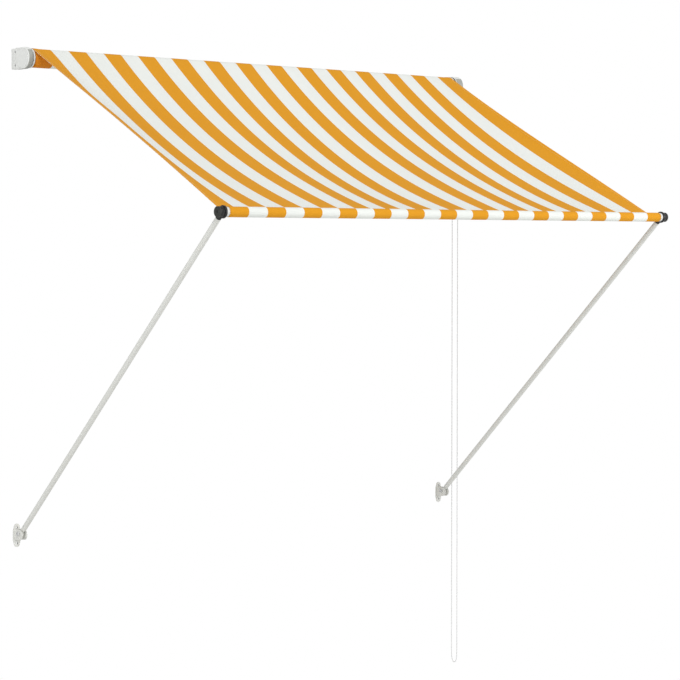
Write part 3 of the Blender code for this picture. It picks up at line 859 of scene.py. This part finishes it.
def edge_to_edge(steps):
    """X of equal steps from the cloth's left edge to its right."""
    return [CLOTH_LEFT + (CLOTH_RIGHT - CLOTH_LEFT) * i / steps for i in range(steps + 1)]


def pocket_flap():
    """The pocket's returning edge, sewn flat under the last strip of the span."""
    columns, maps = [], []
    for x in edge_to_edge(120):
        run = [span_point(x, FLAP_START + (1 - FLAP_START) * r / 8)[0] for r in range(9)]
        columns.append(dropped(run, HEM_LAYER * 1.05))
        maps.append([(x - CLOTH_LEFT, distance) for distance in lengths(run)])
    return hung(sewn(columns, maps, "pocket_flap"))


def wound_cloth():
    """The turns left on the roller: a spiral whose ends show each layer's edge."""
    inner = TUBE_RADIUS + GAP
    thick = (ROLL_RADIUS - inner) / ROLL_TURNS
    steps = 72 * ROLL_TURNS
    spiral = []
    for i in range(steps + 1):
        radius = inner + thick * 0.5 + (ROLL_RADIUS - inner - thick) * i / steps
        spiral.append((2 * math.pi * ROLL_TURNS * i / steps, radius))
    columns, maps = [], []
    for x in edge_to_edge(40):
        columns.append([Vector((x, ROLLER.y + r * math.sin(a), ROLLER.z + r * math.cos(a)))
                        for a, r in spiral])
        maps.append([(x - CLOTH_LEFT, a * r) for a, r in spiral])
    roll = sewn(columns, maps, "roll_turns", SHADED_WOUND_CANVAS, ["cloth_roll"], thick * 0.86)
    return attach(roll, "roller")


def bar_pocket():
    """The cloth pocket round the bar: taut, with a soft crease where its seam pulls."""
    steps = 88
    columns, maps = [], []
    for x in edge_to_edge(150):
        column, marks = [], []
        for k in range(steps + 1):
            angle = 2 * math.pi * k / steps
            # angle 0 is at the seam, at the back of the bar; the cloth stands off beside it
            away = min(angle, 2 * math.pi - angle)
            fullness = 0.00035 * math.exp(-(away / 0.5) ** 2)
            dimple = 0.00010 * math.sin(41 * x + 2 * math.sin(3 * angle)) * math.sin(angle / 2)
            radius = SLEEVE_RADIUS - CLOTH_THICK / 2 - 0.00045 + fullness + dimple
            y, z = BAR.y + radius * math.cos(angle), BAR.z - radius * math.sin(angle)
            column.append(Vector((x, y, z)))
            marks.append((x - CLOTH_LEFT, radius * angle))
        columns.append(column)
        maps.append(marks)
    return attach(sewn(columns, maps, "bar_pocket", stands_for=["bar_sleeve"]), "front_bar")


# ---- end covers


def cover_outline(radius, back, steps=40):
    """The D shape of an end cover: straight from the wall, round the roller's axis in front."""
    nose = arc((ROLLER.y, ROLLER.z), radius, 90, 270, steps)
    return [(back, ROLLER.z + radius)] + nose + [(back, ROLLER.z - radius)]


def slab(side, outline, near, far):
    """A slab with the (y, z) outline between two distances beyond the cloth's edge."""
    return plate(outline, *sorted((at(side, near), at(side, far))))


def round_bar(side, spot, radius, near, far):
    """A round bar, for a screw post or a hole, between two distances beyond the cloth's edge."""
    start, end = sorted((at(side, near), at(side, far)))
    return moved(disc(radius, start, end, 32), (0, *spot))


def end_cover(side, word):
    """A moulded D-shaped cover: screw flange at the wall, raised drum with a lip, screw posts."""
    face = COVER_FACE[side]
    inside = face - COVER_WALL
    drum = slab(side, cover_outline(COVER_RADIUS, COVER_FLANGE), COVER_MOUTH, face)
    drum = softened(drum, 0.0022, 4)
    top, bottom = ROLLER.z + COVER_FLANGE_HALF, ROLLER.z - COVER_FLANGE_HALF
    back, front = -0.0006, COVER_FLANGE - 0.004
    flange = slab(side, [(back, top), (front, top), (front, bottom), (back, bottom)],
                  COVER_MOUTH, face - COVER_STEP)
    shell = joined(drum, [softened(flange, 0.0012, 3)])
    outer, inner = LIP_INSET, LIP_INSET + LIP_WIDTH
    groove = slab(side, cover_outline(COVER_RADIUS - outer, front), face - 0.0005, face + 0.002)
    island = cover_outline(COVER_RADIUS - inner, front - LIP_WIDTH)
    lip = combined(groove, [slab(side, island, face - 0.001, face + CUT)])
    hollow = slab(side, cover_outline(COVER_RADIUS - COVER_WALL, CUT), COVER_MOUTH - CUT, inside)
    shell = combined(shell, [hollow, lip])
    posts = [round_bar(side, spot, 0.0055, COVER_MOUTH, inside) for spot in COVER_SCREWS]
    cuts = []
    for spot in COVER_SCREWS:
        cuts.append(round_bar(side, spot, 0.002, COVER_MOUTH - CUT, face + CUT))
        cuts.append(round_bar(side, spot, 0.0041, face - 0.003, face + CUT))
    if side > 0:
        low, high = at(side, CHAIN_OUT - 0.006), at(side, CHAIN_OUT + 0.006)
        reach = CHAIN_RADIUS + 0.008
        cuts.append(block((low, ROLLER.y - reach, -0.045), (high, ROLLER.y + reach, -0.020)))
    shell = combined(joined(shell, posts), cuts)
    cover = fitted(shell, f"cover_shell_{word}", "root", WHITE_PLASTIC, "white_plastic",
                   [f"end_cover_{word}"])
    # painted shade: the drum's rim behind the face, all round except its top, is painted darker grey
    painted(cover, RIM_SHADE_PLASTIC, lambda spot, normal: (
        abs(spot.x - at(side, face)) > RIM_SHADE_DEPTH and spot.y < COVER_FLANGE
        and normal.z < 0.75 and abs(normal.x) < 0.5))


def roller_plug(side, word):
    """The plug that carries the roller: journal, stepped flange and spigot."""
    journal = JOURNAL[side]
    spigot = TUBE_RADIUS - TUBE_WALL
    profile = [(0, journal), (0.0046, journal), (0.006, journal - 0.0014), (0.006, 0.0070),
               (0.0068, 0.0065), (0.0240, 0.0065), (0.0248, 0.0058), (0.0262, 0.0058),
               (0.0270, 0.0065), (0.0322, 0.0065), (0.0332, 0.0059), (0.0335, 0.0052),
               (0.0335, 0.0030), (0.0331, 0.0024), (spigot, 0.0023), (spigot, -0.029),
               (spigot - 0.001, -0.030), (0.020, -0.040), (0, -0.040)]
    plug = moved(faced(turned(profile, 72), side), (at(side, 0), ROLLER.y, ROLLER.z))
    fitted(plug, f"roller_end_{word}", "roller", WHITE_PLASTIC, "white_plastic",
           [f"roller_plug_{word}"])


# ---- bead chain


def chain_bend():
    """(y, z) points of the loop's foot: a narrow U that opens gradually into two strands."""
    stretch = CHAIN_RADIUS ** 2 / CHAIN_BEND
    sweep = math.acos(math.exp(-CHAIN_BEND_HEIGHT / stretch))
    points = []
    for i in range(CHAIN_BEND_STEPS + 1):
        angle = sweep * (2 * i / CHAIN_BEND_STEPS - 1)
        y = ROLLER.y + CHAIN_RADIUS * math.sin(angle) / math.sin(sweep)
        points.append((y, CHAIN_BOTTOM - stretch * math.log(math.cos(angle))))
    return points


def chain_routes():
    """The hanging loop, and its short turn over the wheel."""
    x = at(1, CHAIN_OUT)
    front, back = ROLLER.y - CHAIN_RADIUS, ROLLER.y + CHAIN_RADIUS
    drop = (CHAIN_TOP - CHAIN_BOTTOM - CHAIN_BEND_HEIGHT) / CHAIN_STEPS
    down = [(x, front, CHAIN_TOP - drop * i) for i in range(CHAIN_STEPS)]
    bend = [(x, y, z) for y, z in chain_bend()]
    rise = [(x, back, CHAIN_TOP - drop * i) for i in reversed(range(CHAIN_STEPS))]
    over = [(x, y, z) for y, z in arc((ROLLER.y, ROLLER.z), CHAIN_RADIUS, 180, 0, 24)]
    over = [(x, front, CHAIN_TOP + GAP)] + over + [(x, back, CHAIN_TOP + GAP)]
    return down + bend + rise, over


def beaded(route, name, stands_for):
    """Round beads moulded on an endless cord."""
    radius = BEAD / 2
    rings = []
    for i in range(9):
        angle = math.radians(8 + 164 * i / 8)
        rings.append((-radius * math.cos(angle), radius * math.sin(angle)))
    beads = strung(walked(route, BEAD_PITCH, BEAD_PITCH / 2), rings, 12)
    link = tube(route, LINK_RADIUS)
    work = bmesh.new()
    work.from_mesh(beads)
    work.from_mesh(link)
    mesh = bpy.data.meshes.new(name)
    work.to_mesh(mesh)
    work.free()
    return fitted(mesh, name, "root", BEADS, "bead_chain", stands_for)


def bead_chain():
    hanging, over = chain_routes()
    turn = beaded(over, "beads_on_wheel", ["chain_over_wheel"])
    loop = beaded(hanging, "beads_hanging", ["bead_chain"])


# ---- arms


def on_arm(mesh, side, distance):
    """Put a piece made round the arm's own +Z axis at its distance from the lower pivot."""
    lean = Matrix.Rotation(ARM_LEAN, 4, "X")
    mesh.transform(Matrix.Translation((0, 0, distance)))
    return moved(mesh, (at(side, ARM_OUT), PIVOT.y, PIVOT.z), lean)


def along_arm(profile, steps=ROUND, closed=False):
    """Turn (radius, distance) points about the arm's own +Z axis."""
    mesh = turned(profile, steps, closed)
    mesh.transform(Matrix.Rotation(-math.pi / 2, 4, "Y"))
    return mesh


def hexagon(across, start, end):
    """A chamfered hexagonal prism along X."""
    prism = plate(arc((0, 0), across / math.sqrt(3), 0, 300, 5), start, end)
    corner = across / math.sqrt(3)
    flat = across / 2
    rim = 0.0008
    cone = turned([(0, end), (flat - 0.0002, end), (corner + 0.0001, end - rim),
                   (corner + 0.0001, start + rim), (flat - 0.0002, start), (0, start)])
    return combined(prism, [cone], "INTERSECT")


def arm_bracket(side, word):
    """A coated steel bracket: a wall plate with two round screw tabs, and two cheeks."""
    x = at(side, ARM_OUT)
    wide, high = BRACKET_BODY
    tab = arc((0, BRACKET_HALF), BRACKET_TAB, 0, 180, 24)
    outline = [(wide, -high), (wide, high)] + tab + [(-wide, high), (-wide, -high)]
    outline += [(-px, -pz) for px, pz in tab]
    upright = Matrix(((0, 1, 0, x), (-1, 0, 0, 0), (0, 0, 1, BRACKET_MIDDLE), (0, 0, 0, 1)))
    base = moved(plate(outline, 0, BRACKET_PLATE), (0, 0, 0), upright)
    nose = arc((-0.036, PIVOT.z - 0.004), 0.017, 90, 270, 32)
    cheek = [(-0.002, PIVOT.z + 0.013)] + nose + [(-0.002, PIVOT.z - 0.023)]
    cheeks = [plate(cheek, x + start, x + start + BRACKET_CHEEK) for start in (-0.0103, 0.0073)]
    quarter = Matrix.Rotation(math.pi / 2, 4, "Z")
    cuts = []
    for up in BRACKET_HOLES:
        hole = turned([(0, -0.008), (0.0052, -0.0079), (0.00275, -0.0028), (0.00275, 0.006),
                       (0, 0.006)])
        cuts.append(moved(hole, (x, 0, BRACKET_MIDDLE + up), quarter))
    cuts.append(moved(disc(PIVOT_HOLE, x - 0.02, x + 0.02), (0, PIVOT.y, PIVOT.z)))
    bracket = softened(combined(joined(base, cheeks), cuts), 0.0006, 3)
    bracket = fitted(bracket, f"wall_foot_bracket_{word}", "root", COAT, "white_powder_coat",
                     [f"arm_bracket_{word}"])
    # painted shade: the walls of the screw holes are painted near-black
    painted(bracket, HOLE_DARK, lambda spot, normal: abs(normal.y) < 0.8 and any(
        math.hypot(spot.x - x, spot.z - BRACKET_MIDDLE - up) < BRACKET_HOLE for up in BRACKET_HOLES))


def pivot_bolt(side, word):
    """A hexagon bolt with its washer face, a chamfered end and a nut."""
    spot = (at(side, ARM_OUT), PIVOT.y, PIVOT.z)
    shank = turned([(0, 0.0112), (0.004, 0.0112), (0.004, -0.0178), (0.0034, -0.0185),
                    (0, -0.0185)])
    bolt = joined(hexagon(0.013, 0.0106, 0.0158), [shank])
    nut = combined(hexagon(0.013, -0.0158, -0.0106), [disc(PIVOT_HOLE, -0.02, 0)])
    for mesh, name, node in ((bolt, "hinge_bolt", "pivot_bolt"), (nut, "hinge_nut", "pivot_nut")):
        piece = moved(faced(mesh, side), spot)
        fitted(piece, f"{name}_{word}", "root", ZINC, "zinc_plate", [f"{node}_{word}"])


def arm_foot():
    """The arm's lower eye, with a neck that fills the tube and a spigot in it."""
    neck = along_arm([(0, 0.060), (SPIGOT_RADIUS, 0.060), (SPIGOT_RADIUS, ARM_TUBE[0] - GAP),
                      (ARM_RADIUS, ARM_TUBE[0] - GAP), (ARM_RADIUS, 0.022), (0.0080, 0.0200),
                      (0.0065, 0.0185), (0.0065, 0.002), (0, 0.002)])
    foot = joined(softened(disc(0.0115, -0.007, 0.007), 0.0012, 3), [neck])
    return combined(foot, [disc(PIVOT_HOLE, -0.01, 0.01), cross_hole(FOOT_RIVET)])


def cross_hole(distance):
    """A rivet's hole across the arm."""
    return moved(disc(RIVET_HOLE, -0.012, 0.012, 24), (0, 0, distance))


def arm_tube():
    """The coated tube: its ends chamfered, a rivet's hole near each."""
    inner = ARM_RADIUS - ARM_WALL
    chamfer = 0.0004
    low, high = ARM_TUBE
    first, last = high - chamfer, low + chamfer
    profile = [(ARM_RADIUS, last), (ARM_RADIUS - chamfer, low), (inner, low), (inner, high),
               (ARM_RADIUS - chamfer, high), (ARM_RADIUS, first)]
    steps = 12
    profile += [(ARM_RADIUS, first - (first - last) * i / steps) for i in range(1, steps)]
    holes = [cross_hole(FOOT_RIVET), cross_hole(ARM_LENGTH - HEAD_RIVET)]
    return combined(along_arm(profile, closed=True), holes)


def arm_head(side):
    """A moulded eye with a thrust rim on the bar side, a waisted neck and a spigot."""
    rim = softened(disc(0.020, 0.012 - ARM_OUT, 0.0185 - ARM_OUT), 0.0014, 4)
    waist = turned([(radius, out - ARM_OUT) for radius, out in (
        (0, 0.0306), (0.0142, 0.0306), (0.0158, 0.0298), (0.0165, 0.0285), (0.0165, 0.0180),
        (0, 0.0180))])
    shoulder = ARM_LENGTH - ARM_TUBE[1] - GAP
    neck = along_arm([(0, -0.010), (0.0058, -0.010), (0.0058, -0.0168), (0.0066, -0.0184),
                      (ARM_RADIUS, -0.0215), (ARM_RADIUS, -shoulder), (SPIGOT_RADIUS, -shoulder),
                      (SPIGOT_RADIUS, -0.065), (0, -0.065)])
    for mesh in (rim, waist):
        faced(mesh, side)
    head = joined(rim, [waist, neck])
    return combined(head, [disc(0.0053, -0.03, 0.03), cross_hole(-HEAD_RIVET)])


def rivet():
    """A round-headed rivet across the arm's tube."""
    dome = [(0, 0.0105), (0.0008, 0.01047), (0.0015, 0.0103), (0.0021, 0.0100), (0.0026, 0.0096),
            (0.0028, 0.0091)]
    shank = [(0.0015, 0.0091), (0.0015, -0.0091)]
    return turned(dome + shank + [(radius, -x) for radius, x in reversed(dome)], 32)


def arm(side, word):
    """Foot, tube and head of one arm, and the two rivets that hold them together."""
    white = (COAT, "white_powder_coat")
    black = (BLACK_PLASTIC, "black_plastic")
    plated = (ZINC, "zinc_plate")
    rows = ((arm_foot(), 0, "foot_fork", "arm_foot", white),
            (arm_tube(), 0, "arm_pole", "arm_tube", white),
            (arm_head(side), ARM_LENGTH, "elbow", "arm_head", black),
            (rivet(), FOOT_RIVET, "rivet_low", "foot_rivet", plated),
            (rivet(), ARM_LENGTH - HEAD_RIVET, "rivet_high", "head_rivet", plated))
    for mesh, distance, name, node, finish in rows:
        placed = on_arm(mesh, side, distance)
        fitted(placed, f"{name}_{word}", f"{word}_arm", *finish, [f"{node}_{word}"])


# ---- front bar's ends


def bar_end(side, word):
    """Plug, cap and screw at one end of the bar."""
    spot = (at(side, 0), BAR.y, BAR.z)
    spigot = BAR_RADIUS - 0.0018
    plug = turned([(0, 0.0308), (0.0044, 0.0308), (0.005, 0.0302), (0.005, 0.0121),
                   (0.0056, 0.0117), (0.0143, 0.0117), (0.0150, 0.0112), (0.0152, 0.0104),
                   (0.0152, 0.0040), (0.0146, 0.0034), (0.0146, 0.0028), (0.0152, 0.0023),
                   (spigot, 0.0023), (spigot, -0.024), (0.010, -0.030), (0, -0.030)])
    plug = combined(plug, [disc(0.0018, 0.018, 0.035, 24)])
    cap = turned([(0.0150, 0.0380), (0.0160, 0.0377), (0.0165, 0.0370), (0.0165, 0.0321),
                  (0.0161, 0.0314), (0.0153, 0.0311), (0.0022, 0.0311), (0.0022, 0.0350),
                  (0.0045, 0.0350), (0.0045, 0.0368), (0.0049, 0.0372), (0.0126, 0.0374),
                  (0.0131, 0.0371), (0.0136, 0.0374), (0.0140, 0.0379)], closed=True)
    screw = turned([(0, 0.0370), (0.0026, 0.0370), (0.0035, 0.0367), (0.0040, 0.0361),
                    (0.0040, 0.0353), (0.0015, 0.0353), (0.0015, 0.0200), (0, 0.0190)], 40)
    slots = [block((0.0360, -0.0022, -0.00035), (0.0380, 0.0022, 0.00035)),
             block((0.0360, -0.00035, -0.0022), (0.0380, 0.00035, 0.0022))]
    rows = ((plug, "bar_stub", "bar_plug", WHITE_PLASTIC, "white_plastic"),
            (cap, "hub_cap", "pivot_cap", CAP_PLASTIC, "black_plastic"),
            (combined(screw, slots), "hub_screw", "cap_screw", BLACK_SCREW, "zinc_plate"))
    for mesh, name, node, *finish in rows:
        placed = moved(faced(mesh, side), spot)
        fitted(placed, f"{name}_{word}", "front_bar", *finish, [f"{node}_{word}"])


# ---- pieces that keep their CAD shape


def repaint(node, paint):
    """Give a piece of the frame its finish."""
    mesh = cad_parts[node].data
    mesh.materials.clear()
    mesh.materials.append(paint)


KEPT = {
    "roller_tube": ZINC, "bar_tube": COAT, "clutch_core": NYLON, "brake_spring": SPRING,
    "chain_wheel": WHITE_PLASTIC,
}
for _, label in SIDES:
    KEPT[f"bearing_bush_{label}"] = NYLON
    KEPT[f"wall_bracket_{label}"] = ZINC
    # painted shade: the cover screws get the darker zinc
    KEPT[f"cover_screw_{label}_upper"] = SHADED_SCREW_ZINC
    KEPT[f"cover_screw_{label}_lower"] = SHADED_SCREW_ZINC

# ---- room, lights and camera

FLOOR_DROP = 0.22  # the floor lies this far below the chain
ROOM_LIGHT = 0.62


def lit_white(tree, shader, glow):
    """The camera sees plain white, from the glow node; all else gets the shader's light."""
    nodes, links = tree.nodes, tree.links
    white = nodes.new(glow)
    white.inputs["Color"].default_value = shade(1, 1, 1)
    choice = nodes.new("ShaderNodeMixShader")
    ray = nodes.new("ShaderNodeLightPath")
    links.new(ray.outputs["Is Camera Ray"], choice.inputs["Fac"])
    links.new(shader, choice.inputs[1])
    links.new(white.outputs[0], choice.inputs[2])
    return choice.outputs["Shader"]


def floor():
    """A very large pale floor that runs on into the white room."""
    paint = Paint("pale_floor", Roughness=0.85)
    mesh = bpy.data.meshes.new("studio_floor")
    work = bmesh.new()
    bmesh.ops.create_circle(work, cap_ends=True, segments=96, radius=60.0)
    work.to_mesh(mesh)
    work.free()
    mesh.transform(Matrix.Translation((1.0, -2.0, CAD_BOX[0].z - FLOOR_DROP)))
    grain = paint.noise(2.0, 3.0, 0.5, paint.place())
    tone = paint.mix(grain, shade(0.80, 0.80, 0.79), shade(0.83, 0.83, 0.82))
    tree = paint.tree
    tree.links.new(tone.socket, paint.shader.inputs["Base Color"])
    surface = lit_white(tree, paint.shader.outputs["BSDF"], "ShaderNodeEmission")
    tree.links.new(surface, tree.nodes["Material Output"].inputs["Surface"])
    mesh.materials.append(paint.material)
    item = bpy.data.objects.new("studio_floor", mesh)
    bpy.context.scene.collection.objects.link(item)


def lamp(name, spot, target, size, power):
    """A round soft lamp, turned to its target."""
    light = bpy.data.lights.new(name, "AREA")
    light.shape = "DISK"
    light.size = size
    light.energy = power
    item = bpy.data.objects.new(name, light)
    item.location = spot
    item.rotation_euler = (Vector(target) - Vector(spot)).to_track_quat("-Z", "Y").to_euler()
    bpy.context.scene.collection.objects.link(item)


def room():
    """A white room: soft light all round, and a plain white backdrop."""
    world = bpy.data.worlds.new("white_room")
    world.use_nodes = True
    bpy.context.scene.world = world
    tree = world.node_tree
    soft = tree.nodes["Background"]
    soft.inputs["Color"].default_value = shade(0.99, 0.995, 1.0)
    soft.inputs["Strength"].default_value = ROOM_LIGHT
    surface = lit_white(tree, soft.outputs["Background"], "ShaderNodeBackground")
    tree.links.new(surface, tree.nodes["World Output"].inputs["Surface"])


def camera():
    """A long lens, a little below the roller, that looks along the cloth from its left."""
    data = bpy.data.cameras.new("camera")
    data.sensor_width = 36.0
    data.lens = 112.1
    data.shift_y = -0.0348
    item = bpy.data.objects.new("camera", data)
    item.location = (-3.7901, -6.1861, -0.6242)
    item.rotation_euler = (math.radians(90 - 1.942), 0, math.radians(-40.207))
    bpy.context.scene.collection.objects.link(item)
    bpy.context.scene.camera = item


# ---- the awning

camera()
bead_chain()
sheet, sheet_length = canopy_sheet()
stitches = sewing()
flap = pocket_flap()
wound_cloth()
bar_pocket()
for hand, label in SIDES:
    end_cover(hand, label)
    roller_plug(hand, label)
    arm_bracket(hand, label)
    pivot_bolt(hand, label)
    arm(hand, label)
    bar_end(hand, label)
for kept, finish in KEPT.items():
    repaint(kept, finish)

room()
floor()
lamp("key", (-4.7, -8.0, 7.2), (0.8, -0.7, -0.5), 3.0, 525)
lamp("right_fill", (4.5, -5.0, 0.2), (1.6, -1.0, -0.8), 2.4, 105)
lamp("left_fill", (-12.0, -6.0, 0.5), (1.0, -0.6, -0.8), 4.8, 390)
bpy.context.scene.view_settings.view_transform = "Standard"
